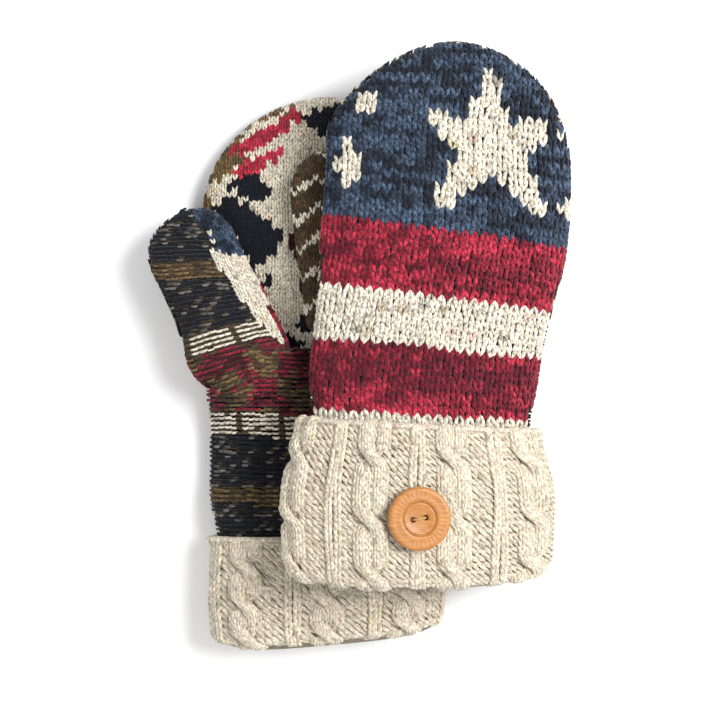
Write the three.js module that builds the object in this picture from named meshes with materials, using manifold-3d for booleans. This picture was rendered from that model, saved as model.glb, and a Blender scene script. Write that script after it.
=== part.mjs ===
// A pair of lined wool mittens with turned-back cable-knit cuffs and wooden buttons.
// The left mitten lies palm up on the table. The right one lies across it, back up, and sags down
// beside it to the table. Millimetres: +X across the hands, +Y to the fingertips, +Z up.
import * as THREE from "three";
import { ParametricGeometry } from "three/addons/geometries/ParametricGeometry.js";
import { mergeVertices } from "three/addons/utils/BufferGeometryUtils.js";
import Module from "manifold-3d";

const wasm = await Module();
wasm.setup();
const { smoothstep, degToRad, lerp } = THREE.MathUtils;

// Cloth thicknesses, and the air left between two pieces that touch
const WOOL = 2.6;
const FLEECE = 1.6;
const THUMB_WOOL = 2.0;
const THUMB_FLEECE = 1.3;
const CUFF_WOOL = 5.0;
const GAP = 0.3;

// Half heights of the flattened tubes
const HAND_HALF_HEIGHT = 9;
const THUMB_HALF_HEIGHT = 6.3;
const CUFF_HALF_HEIGHT = HAND_HALF_HEIGHT + GAP + CUFF_WOOL;

// The hand tube
const FINGER_HALF_WIDTH = 60;
const HEM_HALF_WIDTH = 52.5;
const TIP_REACH = 54;
const TIP_FULLNESS = 1.85;
const WRIST_FLARE = 30;

// The cuff band
const FOLD_RADIUS = 6;
const CUFF_LIP_RADIUS = 2.2;
const HEM_ABOVE_FOLD = 8.5;
const PAST_HEM = 20;

// The thumb, measured from the middle of its round base
const THUMB_BASE_RADIUS = 22.5;
const THUMB_HALF_WIDTH = 24;
const THUMB_TIP_REACH = 22;
const THUMB_TIP_FULLNESS = 2.3;
const THUMB_HOLE_RADIUS = 12;

// The two-hole button
const BUTTON_RADIUS = 15;
const BUTTON_HEIGHT = 4.2;
const BUTTON_WEB_HALF_THICKNESS = 0.8;
const BUTTON_EDGE_RADIUS = 2;
const BUTTON_BACK_HOLLOW_RADIUS = 5;
const BUTTON_DISH_RADIUS = 4.5;
const BUTTON_BEAD_RADIUS = 7.6;
const BUTTON_GROOVE_RADIUS = 8.4;
const BUTTON_EYE_OFFSET = 2.95;
const BUTTON_EYE_RADIUS = 1.3;
const THREAD_RADIUS = 0.6;
const THREAD_SQUASH = 0.58;

// How the pair lies
const PALM_TO_THUMB = 0.4;
const FLOOR_PRESS = 0.6;
const LEFT_CUFF_CLEARANCE = 1.2;
const LEFT_PALM_TOP = 2 * HAND_HALF_HEIGHT - FLOOR_PRESS;
const THUMB_MIDDLE_Z = LEFT_PALM_TOP + PALM_TO_THUMB + THUMB_HALF_HEIGHT;
const RIGHT_UNDERSIDE = THUMB_MIDDLE_Z + THUMB_HALF_HEIGHT + PALM_TO_THUMB;
const SAG_STARTS_AT_X = 5;
const SAG_RATE = 0.0038;
const CUFF_RISE = 35;
const THUMB_DROOP_START = 40;
const PARTING_HALF_WIDTH = 75;
const BIG = 300;

// Curve fineness
const HALF_GIRTH_STEPS = 8;
const HAND_CAP_STEPS = 5;
const THUMB_CAP_STEPS = 4;
const ROUND_STEPS = 24;

const LEFT = {
  name: "left",
  palmSide: 1,
  centre: () => -16.5,
  wristHalfWidth: 57.5,
  tip: 128,
  thumbSeam: 4,
  cuffTop: -85,
  cuffBottom: -137.5,
  cuffHalfWidth: { top: 58.4, middle: 59.5, bottom: 58 },
  handLift: HAND_HALF_HEIGHT - FLOOR_PRESS,
  cuffLift: CUFF_HALF_HEIGHT + LEFT_CUFF_CLEARANCE,
  thumb: { x: -56, y: 4, lean: 25, length: 74, droop: 5 },
  button: { x: -17, y: -112, turn: 0 },
  skew: (y) => 0.09 * (1 - smoothstep(y, -137.5, -85)),
  settle: () => 0,
};

const RIGHT = {
  name: "right",
  palmSide: -1,
  centre: (y) => 29.5 + 14 * smoothstep(y, -32, 110),
  wristHalfWidth: 55.5,
  tip: 152,
  thumbSeam: 26,
  cuffTop: -27,
  cuffBottom: -107.5,
  cuffHalfWidth: { top: 59.2, middle: 66.5, bottom: 65 },
  handLift: HAND_HALF_HEIGHT,
  cuffLift: CUFF_HALF_HEIGHT,
  thumb: { x: -5, y: 26, lean: 5, length: 76, droop: 0 },
  button: { x: 27.6, y: -73.9, turn: 9 },
  skew: (y) => -0.125 * smoothstep(y, -110, 60) * (1 - smoothstep(y, 80, 150)),
  settle: restOnLeftMitten,
};

const COLOURS = {
  wool_back: 0x8a1f35,
  wool_palm: 0xbfae93,
  wool_reverse: 0x23262e,
  fleece: 0xd9cfbd,
  cable: 0xe2d8c3,
  wood: 0xc98a4b,
  thread: 0xd8c7a6,
};

// Height of the right mitten's underside over the table: carried by the left mitten and its own
// thumb on one side, and sagging towards the table beyond them.
function restOnLeftMitten(x) {
  return RIGHT_UNDERSIDE - SAG_RATE * Math.max(0, x - SAG_STARTS_AT_X) ** 2;
}

// ---- Solids ----

function solid(geometry) {
  const bare = geometry.clone();
  bare.deleteAttribute("normal");
  bare.deleteAttribute("uv");
  const merged = mergeVertices(bare, 1e-4);
  const index = merged.index.array;
  const corners = [];
  for (let i = 0; i < index.length; i += 3) {
    const [a, b, c] = [index[i], index[i + 1], index[i + 2]];
    if (a !== b && b !== c && c !== a) corners.push(a, b, c);
  }
  const vertProperties = Float32Array.from(merged.attributes.position.array);
  const triVerts = Uint32Array.from(corners);
  return new wasm.Manifold(new wasm.Mesh({ numProp: 3, vertProperties, triVerts }));
}

function geometryOf(body) {
  const mesh = body.getMesh();
  const geometry = new THREE.BufferGeometry();
  geometry.setAttribute("position", new THREE.BufferAttribute(Float32Array.from(mesh.vertProperties), 3));
  geometry.setIndex(new THREE.BufferAttribute(Uint32Array.from(mesh.triVerts), 1));
  geometry.computeVertexNormals();
  return geometry;
}

// A block over the given span of one axis, wide enough to cut anything on the other two.
function slab(axis, low, high) {
  const size = new THREE.Vector3(BIG, BIG, BIG);
  size[axis] = high - low;
  const centre = new THREE.Vector3();
  centre[axis] = (low + high) / 2;
  return solid(new THREE.BoxGeometry(size.x, size.y, size.z).translate(centre.x, centre.y, centre.z));
}

// A round bar standing on end, with its middle at height 0.
function upright(radius, height, x, y) {
  const bar = new THREE.CylinderGeometry(radius, radius, height, ROUND_STEPS);
  return solid(bar.rotateX(Math.PI / 2).translate(x, y, 0));
}

// ---- Flattened tubes ----

// Rings are functions that give the point at a turn: from the -X edge over the top to the +X edge,
// then back underneath.
function loft(rings) {
  const last = rings.length - 1;
  const surface = (turn, along, target) => target.copy(rings[Math.round(along * last)](turn));
  return solid(new ParametricGeometry(surface, 2 * HALF_GIRTH_STEPS, last));
}

// Where a turn is: 1 over the top or -1 underneath, and how far across, from -1 to 1.
function placeOnRing(turn) {
  const side = turn < 0.5 ? 1 : -1;
  const sweep = turn < 0.5 ? 2 * turn : 2 * turn - 1;
  return { side, across: -side * Math.cos(Math.PI * sweep) };
}

function flatRing(lay, at, centre, halfWidth, halfHeight) {
  return (turn) => {
    const { side, across } = placeOnRing(turn);
    const height = side * Math.sqrt(Math.max(0, 1 - across ** 4));
    return lay(new THREE.Vector3(centre + halfWidth * across, at, halfHeight * height));
  };
}

function closedAt(lay, at, centre) {
  return flatRing(lay, at, centre, 0, 0);
}

// Everything on one side of a tube's seam, between the given stations.
function sideOfSeam(lay, stations, centreAt, side) {
  const rings = stations.map((at) => (turn) => {
    const place = placeOnRing(turn);
    const isOnSeam = place.side !== side || Math.abs(place.across) > 0.99;
    const z = isOnSeam ? (side * GAP) / 2 : side * BIG;
    return lay(new THREE.Vector3(centreAt(at) + PARTING_HALF_WIDTH * place.across, at, z));
  });
  const [first, end] = [stations[0], stations[stations.length - 1]];
  const middle = (at) => () => lay(new THREE.Vector3(centreAt(at), at, (side * BIG) / 2));
  return loft([middle(first), ...rings, middle(end)]);
}

// The shrinking of a rounded end at an angle from 0, where it starts, to a right angle, at its pole.
function roundedEnd(angle, fullness) {
  return {
    reach: Math.sin(angle) ** (2 / fullness),
    width: Math.cos(angle) ** (2 / fullness),
    height: Math.cos(angle) * Math.sqrt(1 + Math.sin(angle) ** 2),
  };
}

function spaced(from, to, steps) {
  return Array.from({ length: steps }, (_, i) => lerp(from, to, i / steps));
}

function handHalfWidth(mitten, y) {
  const flare = smoothstep(y, mitten.cuffTop - 5, mitten.cuffTop - 5 + WRIST_FLARE);
  const spread = smoothstep(y, mitten.cuffTop + WRIST_FLARE, mitten.tip - TIP_REACH);
  return lerp(lerp(HEM_HALF_WIDTH, mitten.wristHalfWidth, flare), FINGER_HALF_WIDTH, spread);
}

// Heights of the hand's rings: inside the cuff, over the flare of the wrist, and up to the shoulder.
function handStations(mitten) {
  const flareStart = mitten.cuffTop - 5;
  const flareEnd = flareStart + WRIST_FLARE;
  return [
    ...spaced(mitten.cuffBottom + HEM_ABOVE_FOLD, flareStart, 3),
    ...spaced(flareStart, flareEnd, 4),
    ...spaced(flareEnd, mitten.tip - TIP_REACH, 4),
  ];
}

// The hand's closed form, drawn in by inset all over. It ends at the hem, or runs on past it.
function handForm(mitten, inset, runOn = 0) {
  const lay = layingOf(mitten);
  const shoulder = mitten.tip - TIP_REACH;
  const stations = handStations(mitten);
  if (runOn > 0) stations.unshift(stations[0] - runOn);
  const rings = [closedAt(lay, stations[0], mitten.centre(stations[0]))];
  for (const at of stations) {
    const halfWidth = handHalfWidth(mitten, at) - inset;
    rings.push(flatRing(lay, at, mitten.centre(at), halfWidth, HAND_HALF_HEIGHT - inset));
  }
  for (let i = 0; i <= HAND_CAP_STEPS; i += 1) {
    const end = roundedEnd((Math.PI / 2) * (i / HAND_CAP_STEPS), TIP_FULLNESS);
    const at = shoulder + (TIP_REACH - inset) * end.reach;
    const halfHeight = (HAND_HALF_HEIGHT - inset) * end.height;
    rings.push(flatRing(lay, at, mitten.centre(at), (FINGER_HALF_WIDTH - inset) * end.width, halfHeight));
  }
  return loft(rings);
}

// The thumb's closed form, which starts along +Y from the middle of its round base.
function thumbForm(thumb, inset) {
  const lay = layingOfThumb(thumb);
  const shoulder = thumb.length - THUMB_TIP_REACH;
  const halfHeight = THUMB_HALF_HEIGHT - inset;
  const rings = [];
  for (let i = THUMB_CAP_STEPS; i > 0; i -= 1) {
    const end = roundedEnd((Math.PI / 2) * (i / THUMB_CAP_STEPS), 2);
    const radius = THUMB_BASE_RADIUS - inset;
    rings.push(flatRing(lay, -radius * end.reach, 0, radius * end.width, halfHeight * end.height));
  }
  for (const at of spaced(0, shoulder, 3)) {
    const halfWidth = lerp(THUMB_BASE_RADIUS, THUMB_HALF_WIDTH, at / shoulder) - inset;
    rings.push(flatRing(lay, at, 0, halfWidth, halfHeight));
  }
  for (let i = 0; i <= THUMB_CAP_STEPS; i += 1) {
    const end = roundedEnd((Math.PI / 2) * (i / THUMB_CAP_STEPS), THUMB_TIP_FULLNESS);
    const at = shoulder + (THUMB_TIP_REACH - inset) * end.reach;
    rings.push(flatRing(lay, at, 0, (THUMB_HALF_WIDTH - inset) * end.width, halfHeight * end.height));
  }
  return loft(rings);
}

function cuffHalfWidth(mitten, y) {
  const { top, middle, bottom } = mitten.cuffHalfWidth;
  const halfway = (mitten.cuffTop + mitten.cuffBottom) / 2;
  if (y > halfway) return lerp(middle, top, smoothstep(y, halfway, mitten.cuffTop));
  return lerp(bottom, middle, smoothstep(y, mitten.cuffBottom, halfway));
}

// The cuff's outer form: a soft fold at the mouth, and a small lip at its free edge.
function cuffForm(mitten) {
  const lay = layingOf(mitten);
  const centre = mitten.centre(mitten.cuffBottom);
  const ring = (at, inset) => {
    const halfWidth = cuffHalfWidth(mitten, at) - inset;
    return flatRing(lay, at, centre, halfWidth, CUFF_HALF_HEIGHT - inset);
  };
  const rings = [closedAt(lay, mitten.cuffBottom, centre)];
  for (const angle of spaced(0, Math.PI / 2, 4)) {
    const at = mitten.cuffBottom + FOLD_RADIUS * (1 - Math.cos(angle));
    rings.push(ring(at, FOLD_RADIUS * (1 - Math.sin(angle))));
  }
  const lipStart = mitten.cuffTop - CUFF_LIP_RADIUS;
  for (const at of spaced(mitten.cuffBottom + FOLD_RADIUS, lipStart, 5)) rings.push(ring(at, 0));
  for (const angle of [0, Math.PI / 4, Math.PI / 2]) {
    const at = lipStart + CUFF_LIP_RADIUS * Math.sin(angle);
    rings.push(ring(at, CUFF_LIP_RADIUS * (1 - Math.cos(angle))));
  }
  rings.push(closedAt(lay, mitten.cuffTop, centre));
  return loft(rings);
}

// The room that the turned-back cuff leaves for the hand's hem, open towards the fingers.
function roomInCuff(mitten) {
  const lay = layingOf(mitten);
  const centre = mitten.centre(mitten.cuffBottom);
  const [low, high] = [mitten.cuffBottom + HEM_ABOVE_FOLD - GAP, mitten.cuffTop + GAP];
  const rings = [closedAt(lay, low, centre)];
  for (const at of [...spaced(low, high, 4), high]) {
    const halfWidth = cuffHalfWidth(mitten, at) - CUFF_WOOL;
    rings.push(flatRing(lay, at, centre, halfWidth, CUFF_HALF_HEIGHT - CUFF_WOOL));
  }
  rings.push(closedAt(lay, high, centre));
  return loft(rings);
}

// ---- Laying a flat mitten down ----

// Moves a point from the flat pattern to where the cloth lies.
function layingOf(mitten) {
  return ({ x, y, z }) => {
    const intoCuff = 1 - smoothstep(y, mitten.cuffTop, mitten.cuffTop + CUFF_RISE);
    const lift = lerp(mitten.handLift, mitten.cuffLift, intoCuff);
    const skewed = y + mitten.skew(y) * (x - mitten.centre(y));
    return new THREE.Vector3(x, skewed, z + lift + mitten.settle(x));
  };
}

// Moves a point from along the thumb's own axis to its place beside the palm.
function layingOfThumb(thumb) {
  const upwards = new THREE.Vector3(0, 0, 1);
  return ({ x, y, z }) => {
    const past = Math.max(0, y - THUMB_DROOP_START) / (thumb.length - THUMB_DROOP_START);
    const point = new THREE.Vector3(x, y, z - thumb.droop * past ** 2);
    point.applyAxisAngle(upwards, degToRad(thumb.lean));
    return point.add(new THREE.Vector3(thumb.x, thumb.y, THUMB_MIDDLE_Z));
  };
}

// ---- The pieces ----

const pair = new THREE.Group();

function add(name, body, colour, roughness = 0.95) {
  const material = new THREE.MeshStandardMaterial({ color: colour, roughness, metalness: 0 });
  const mesh = new THREE.Mesh(geometryOf(body), material);
  mesh.name = name;
  pair.add(mesh);
  return mesh;
}

function addHand(mitten) {
  const { name, palmSide, thumb, thumbSeam, centre } = mitten;
  const lay = layingOf(mitten);
  const reach = [
    mitten.cuffBottom - PAST_HEM,
    ...spaced(mitten.cuffTop, mitten.cuffTop + CUFF_RISE, 4),
    mitten.cuffTop + CUFF_RISE,
    (mitten.cuffTop + mitten.tip) / 2,
    mitten.tip + PAST_HEM,
  ];
  const palmBlock = sideOfSeam(lay, reach, centre, palmSide);
  const backBlock = sideOfSeam(lay, reach, centre, -palmSide);
  const thumbHole = upright(THUMB_HOLE_RADIUS, BIG, thumb.x, thumb.y);
  const layers = [
    { cloth: "panel", outside: 0, thickness: WOOL },
    { cloth: "lining", outside: WOOL + GAP, thickness: FLEECE },
  ];
  for (const { cloth, outside, thickness } of layers) {
    const sleeve = handForm(mitten, outside).subtract(handForm(mitten, outside + thickness, PAST_HEM));
    const palm = sleeve.intersect(palmBlock).subtract(thumbHole);
    const aboveTable = slab("z", 0, BIG);
    const colour = (wool) => (cloth === "panel" ? wool : COLOURS.fleece);
    const back = sleeve.intersect(backBlock).intersect(aboveTable);
    add(`${name}_back_${cloth}`, back, colour(COLOURS.wool_back));
    const upper = palm.intersect(slab("y", thumbSeam + GAP / 2, BIG));
    add(`${name}_upper_palm_${cloth}`, upper, colour(COLOURS.wool_palm));
    const lower = palm.intersect(slab("y", -BIG, thumbSeam - GAP / 2));
    add(`${name}_lower_palm_${cloth}`, lower, colour(COLOURS.wool_reverse));
  }
}

function addThumb(mitten) {
  const { name, palmSide, thumb } = mitten;
  const lay = layingOfThumb(thumb);
  const reach = [-40, ...spaced(THUMB_DROOP_START, thumb.length, 3), thumb.length, thumb.length + 20];
  const outerBlock = sideOfSeam(lay, reach, () => 0, palmSide);
  const innerBlock = sideOfSeam(lay, reach, () => 0, -palmSide);
  const mouth = upright(THUMB_HOLE_RADIUS, BIG, thumb.x, thumb.y).intersect(innerBlock);
  const wool = thumbForm(thumb, 0).subtract(thumbForm(thumb, THUMB_WOOL));
  const fleeceInset = THUMB_WOOL + GAP;
  const fleece = thumbForm(thumb, fleeceInset).subtract(thumbForm(thumb, fleeceInset + THUMB_FLEECE));
  add(`${name}_thumb_outer_panel`, wool.intersect(outerBlock), COLOURS.wool_reverse);
  add(`${name}_thumb_inner_panel`, wool.intersect(innerBlock).subtract(mouth), COLOURS.wool_palm);
  add(`${name}_thumb_lining`, fleece.subtract(mouth), COLOURS.fleece);
}

function addCuff(mitten) {
  const { name, palmSide, cuffBottom, button } = mitten;
  const lining = handForm(mitten, WOOL + GAP + FLEECE, PAST_HEM);
  const mouth = lining.intersect(slab("y", -BIG, cuffBottom + HEM_ABOVE_FOLD + PAST_HEM));
  const cuff = cuffForm(mitten).subtract(roomInCuff(mitten)).subtract(mouth);
  const pocketDepth = BUTTON_HEIGHT + GAP;
  const pocket = upright(BUTTON_RADIUS + 2 * GAP, 2 * pocketDepth, button.x, button.y);
  add(`${name}_cuff`, palmSide > 0 ? cuff.subtract(pocket) : cuff, COLOURS.cable);
}

// Half the section of the button, from its axis: a dished middle, a bead, a groove and a round rim.
function buttonProfile() {
  const half = BUTTON_HEIGHT / 2;
  const flatRadius = BUTTON_RADIUS - BUTTON_EDGE_RADIUS;
  const outline = new THREE.Shape();
  outline.moveTo(0, -BUTTON_WEB_HALF_THICKNESS);
  outline.lineTo(BUTTON_BACK_HOLLOW_RADIUS, -BUTTON_WEB_HALF_THICKNESS);
  outline.lineTo(BUTTON_BACK_HOLLOW_RADIUS + 0.6, -half);
  outline.lineTo(flatRadius, -half);
  outline.quadraticCurveTo(BUTTON_RADIUS, -half, BUTTON_RADIUS, 0);
  outline.quadraticCurveTo(BUTTON_RADIUS, half, flatRadius, half);
  outline.lineTo(BUTTON_GROOVE_RADIUS + 0.8, half - 0.2);
  outline.lineTo(BUTTON_GROOVE_RADIUS, half - 0.9);
  outline.lineTo(BUTTON_BEAD_RADIUS, half - 0.4);
  outline.lineTo(BUTTON_BEAD_RADIUS - 1, half - 0.7);
  outline.lineTo(BUTTON_DISH_RADIUS, BUTTON_WEB_HALF_THICKNESS);
  outline.lineTo(0, BUTTON_WEB_HALF_THICKNESS);
  return outline.getPoints(2);
}

function makeButton() {
  const disc = new THREE.LatheGeometry(buttonProfile(), ROUND_STEPS).rotateX(Math.PI / 2);
  let body = solid(disc);
  for (const side of [-1, 1]) {
    body = body.subtract(upright(BUTTON_EYE_RADIUS, BIG, side * BUTTON_EYE_OFFSET, 0));
  }
  return body;
}

function makeThread() {
  const loop = new THREE.TorusGeometry(BUTTON_EYE_OFFSET, THREAD_RADIUS, 6, 16);
  return solid(loop.rotateX(Math.PI / 2).scale(1, 1, THREAD_SQUASH));
}

// A button lies flat on its cuff, on the side away from the palm.
function addButton(mitten) {
  const { name, palmSide, button } = mitten;
  const half = BUTTON_HEIGHT / 2;
  const lay = layingOf(mitten);
  const topAt = (x) => lay(new THREE.Vector3(x, button.y, CUFF_HALF_HEIGHT)).z;
  const slope = (topAt(button.x + 1) - topAt(button.x - 1)) / 2;
  const place = (mesh) => {
    mesh.position.set(button.x, button.y, palmSide > 0 ? half : topAt(button.x) + half + 2 * GAP);
    if (palmSide > 0) mesh.rotation.set(Math.PI, 0, 0);
    else mesh.rotation.set(0, -Math.atan(slope), degToRad(button.turn));
  };
  place(add(`${name}_button`, makeButton(), COLOURS.wood, 0.45));
  place(add(`${name}_button_thread`, makeThread(), COLOURS.thread, 0.8));
}

for (const mitten of [LEFT, RIGHT]) {
  addHand(mitten);
  addThumb(mitten);
  addCuff(mitten);
  addButton(mitten);
}

// The origin is on the table, under the middle of the pair.
const extent = new THREE.Box3().setFromObject(pair, true);
const middle = extent.getCenter(new THREE.Vector3());
pair.position.set(-middle.x, -middle.y, 0);
pair.updateMatrixWorld(true);

export default pair;
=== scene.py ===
"""A pair of lined wool mittens with turned-back cable-knit cuffs, knitted stitch by stitch."""
import math
from types import SimpleNamespace

import bpy
import numpy as np
from mathutils import Matrix, Vector


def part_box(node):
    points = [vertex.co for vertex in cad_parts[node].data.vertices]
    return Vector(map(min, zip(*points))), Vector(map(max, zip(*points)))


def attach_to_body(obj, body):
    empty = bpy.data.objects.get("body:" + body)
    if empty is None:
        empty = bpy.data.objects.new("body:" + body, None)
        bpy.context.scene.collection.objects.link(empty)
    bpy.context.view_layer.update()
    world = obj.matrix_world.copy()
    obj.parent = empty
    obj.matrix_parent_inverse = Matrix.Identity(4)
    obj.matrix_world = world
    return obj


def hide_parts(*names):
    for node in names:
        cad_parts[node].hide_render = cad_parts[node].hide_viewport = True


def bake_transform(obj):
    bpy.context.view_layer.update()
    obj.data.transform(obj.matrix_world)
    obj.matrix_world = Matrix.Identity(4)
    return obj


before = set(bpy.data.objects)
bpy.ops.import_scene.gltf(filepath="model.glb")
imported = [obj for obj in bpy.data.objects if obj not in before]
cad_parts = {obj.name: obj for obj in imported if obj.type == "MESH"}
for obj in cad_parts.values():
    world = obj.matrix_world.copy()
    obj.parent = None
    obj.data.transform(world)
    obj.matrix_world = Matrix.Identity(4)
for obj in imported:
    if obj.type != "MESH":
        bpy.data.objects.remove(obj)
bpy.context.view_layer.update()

MM = 0.001
RNG = np.random.default_rng(20261118)

# ---------------------------------------------------------------- driving sizes, in millimetres

HAND_HALF_HEIGHT = 9.0
THUMB_HALF_HEIGHT = 6.3
CUFF_HALF_HEIGHT = 14.3
FINGER_HALF_WIDTH = 60.0
HEM_HALF_WIDTH = 52.5
TIP_REACH = 54.0
TIP_FULLNESS = 1.85
WRIST_FLARE = 30.0
FULL_WIDTH_BELOW_TIP = 85.0
BACKING_INSET = 1.9
LINING_INSET = 3.2
THUMB_BACKING_INSET = 1.5
THUMB_LINING_INSET = 2.4
THUMB_BASE_RADIUS = 22.5
THUMB_HALF_WIDTH = 24.0
THUMB_TIP_REACH = 22.0
THUMB_TIP_FULLNESS = 2.3
THUMB_MIDDLE_Z = 24.1
THUMB_DROOP_START = 40.0
RIGHT_UNDERSIDE = 30.8
SAG_STARTS_AT_X = 5.0
SAG_RATE = 0.0038
CUFF_RISE = 35.0
CUFF_LIP_RADIUS = 2.6
CUFF_FOLD_RADIUS = 4.9
CORNER_RISE_REACH = 45.0
BUTTON_RADIUS = 15.0

COARSE = SimpleNamespace(width=5.0, height=3.5, radius=1.17)
FINE = SimpleNamespace(width=2.75, height=2.2, radius=0.72)
REVERSE = SimpleNamespace(width=3.0, height=2.3, radius=0.7)
CUFF_ROW = 3.3
PLY_TURN = 1.9
PLY_DEPTH = 0.08
# A strand's darker copy keeps this share of its colour: painted shade in the grooves between the plies
PLY_GROOVE_PAINTED_SHADE = 0.62
# The same painted shade of the ply grooves, for the cuffs' cream tweed
CUFF_PLY_GROOVE_PAINTED_SHADE = 0.58
PRESSED_TO = 0.03
YARN_LIFT = 0.1
GRID_HALF_WIDTH = 70.0
SEAM_ROOM = 0.3
HEM_UNDER_CUFF = 9.0
THUMB_HOLE_RADIUS = 12.0
CUFF_PITCH = 40.0


def smoothstep(x, low, high):
    t = np.clip((x - low) / (high - low), 0, 1)
    return t * t * (3 - 2 * t)


def lerp(a, b, t):
    return a + (b - a) * t


def unit(v):
    return v / np.maximum(np.linalg.norm(v, axis=-1, keepdims=True), 1e-9)


LEFT = SimpleNamespace(
    name="left",
    palm=1,
    centre=lambda y: -16.5 + 0 * y,
    wrist=57.5,
    tip=128.0,
    thumb_seam=4.0,
    cuff_top=-85.0,
    cuff_bottom=-137.5,
    lip_drop=0.0,
    cuff_corner_rise=(7.0, 4.0),
    cuff_widths=(58.0, 59.5, 58.4),
    hand_lift=8.4,
    cuff_lift=15.5,
    thumb=SimpleNamespace(
        x=-56.0, y=4.0, lean=25.0, length=74.0, droop=5.0, bulge=0.24, slimmer=0.15
    ),
    button=SimpleNamespace(x=-17.0, y=-112.0),
    skew=lambda y: 0.09 * (1 - smoothstep(y, -137.5, -85)),
    settle=lambda x: 0 * x,
)
RIGHT = SimpleNamespace(
    name="right",
    palm=-1,
    centre=lambda y: 29.5 + 14 * smoothstep(y, -32, 90) + 3 * smoothstep(y, 100, 145),
    wrist=55.5,
    tip=152.0,
    thumb_seam=26.0,
    cuff_top=-27.0,
    cuff_bottom=-107.5,
    lip_drop=3.0,
    cuff_corner_rise=(7.0, 9.0),
    cuff_widths=(65.0, 66.5, 59.2),
    hand_lift=9.0,
    cuff_lift=14.3,
    thumb=SimpleNamespace(
        x=-5.0, y=26.0, lean=5.0, length=76.0, droop=0.0, bulge=0.0, slimmer=0.0
    ),
    button=SimpleNamespace(x=27.6, y=-73.9),
    skew=lambda y: -0.125 * smoothstep(y, -110, 60) * (1 - smoothstep(y, 80, 150)),
    settle=lambda x: RIGHT_UNDERSIDE - SAG_RATE * np.maximum(0, x - SAG_STARTS_AT_X) ** 2,
)


def box_middle(node):
    low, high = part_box(node)
    return (np.array(low) + np.array(high)) / 2


# The pattern's own origin, in the frame, found from the left button's place.
SHIFT = box_middle("left_button")[:2] / MM - np.array([LEFT.button.x, LEFT.button.y])


# ---------------------------------------------------------------- the laid forms

def girth_table(ratio):
    """Cloth length across a flattened tube, as a share of half a girth, against the place across."""
    across = np.sin(np.linspace(0, math.pi / 2, 400))
    height = ratio * np.sqrt(1 - across**4)
    length = np.concatenate([[0], np.cumsum(np.hypot(np.diff(across), np.diff(height)))])
    return SimpleNamespace(share=length / length[-1], across=across, total=length[-1])


def cap_table(reach, half_height, fullness):
    """Cloth length up the middle of a rounded end, against the angle round it."""
    angle = np.linspace(0, math.pi / 2, 400)
    along = reach * np.sin(angle) ** (2 / fullness)
    height = half_height * np.cos(angle) * np.sqrt(1 + np.sin(angle) ** 2)
    length = np.concatenate([[0], np.cumsum(np.hypot(np.diff(along), np.diff(height)))])
    return SimpleNamespace(angle=angle, length=length)


HAND_GIRTH = girth_table(HAND_HALF_HEIGHT / FINGER_HALF_WIDTH)
THUMB_GIRTH = girth_table(THUMB_HALF_HEIGHT / THUMB_HALF_WIDTH)
CUFF_GIRTH = girth_table(CUFF_HALF_HEIGHT / 62)
HAND_CAP = cap_table(TIP_REACH, HAND_HALF_HEIGHT, TIP_FULLNESS)
THUMB_CAP = cap_table(THUMB_TIP_REACH, THUMB_HALF_HEIGHT, THUMB_TIP_FULLNESS)
THUMB_BASE_CAP = cap_table(THUMB_BASE_RADIUS, THUMB_HALF_HEIGHT, 2)


def across_of(share, girth):
    return np.sign(share) * np.interp(np.abs(share), girth.share, girth.across)


def lay_down(mitten, x, y, z):
    into_cuff = 1 - smoothstep(y, mitten.cuff_top, mitten.cuff_top + CUFF_RISE)
    lift = lerp(mitten.hand_lift, mitten.cuff_lift, into_cuff)
    skewed = y + mitten.skew(y) * (x - mitten.centre(y))
    return np.stack([x + SHIFT[0], skewed + SHIFT[1], z + lift + mitten.settle(x)], axis=-1)


def hand_half_width(mitten, y):
    flare = smoothstep(y, mitten.cuff_top - 5, mitten.cuff_top - 5 + WRIST_FLARE)
    spread = smoothstep(y, mitten.cuff_top + WRIST_FLARE, mitten.tip - FULL_WIDTH_BELOW_TIP)
    return lerp(lerp(HEM_HALF_WIDTH, mitten.wrist, flare), FINGER_HALF_WIDTH, spread)


def hand_section(mitten, t, inset):
    """Height up the hand, half width and half height, at a length of cloth up its middle."""
    shoulder = mitten.tip - TIP_REACH
    angle = np.interp(t - shoulder, HAND_CAP.length, HAND_CAP.angle)
    sine, cosine = np.sin(angle), np.cos(angle)
    in_cap = t > shoulder
    y = np.where(in_cap, shoulder + (TIP_REACH - inset) * sine ** (2 / TIP_FULLNESS), t)
    tip_width = (FINGER_HALF_WIDTH - inset) * cosine ** (2 / TIP_FULLNESS)
    width = np.where(in_cap, tip_width, hand_half_width(mitten, t) - inset)
    height = (HAND_HALF_HEIGHT - inset) * np.where(in_cap, cosine * np.sqrt(1 + sine**2), 1)
    return y, width, height


def hand_surface(mitten, side, inset=0.0):
    def at(s, t):
        y, width, height = hand_section(mitten, t, inset)
        share = np.clip(s / np.maximum(width * HAND_GIRTH.total, 1e-6), -1, 1)
        across = across_of(share, HAND_GIRTH)
        z = side * height * np.sqrt(np.maximum(0, 1 - across**4))
        return lay_down(mitten, mitten.centre(y) + width * across, y, z)

    return at


def hand_reach(mitten, t):
    return hand_section(mitten, t, 0)[1] * HAND_GIRTH.total


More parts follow.
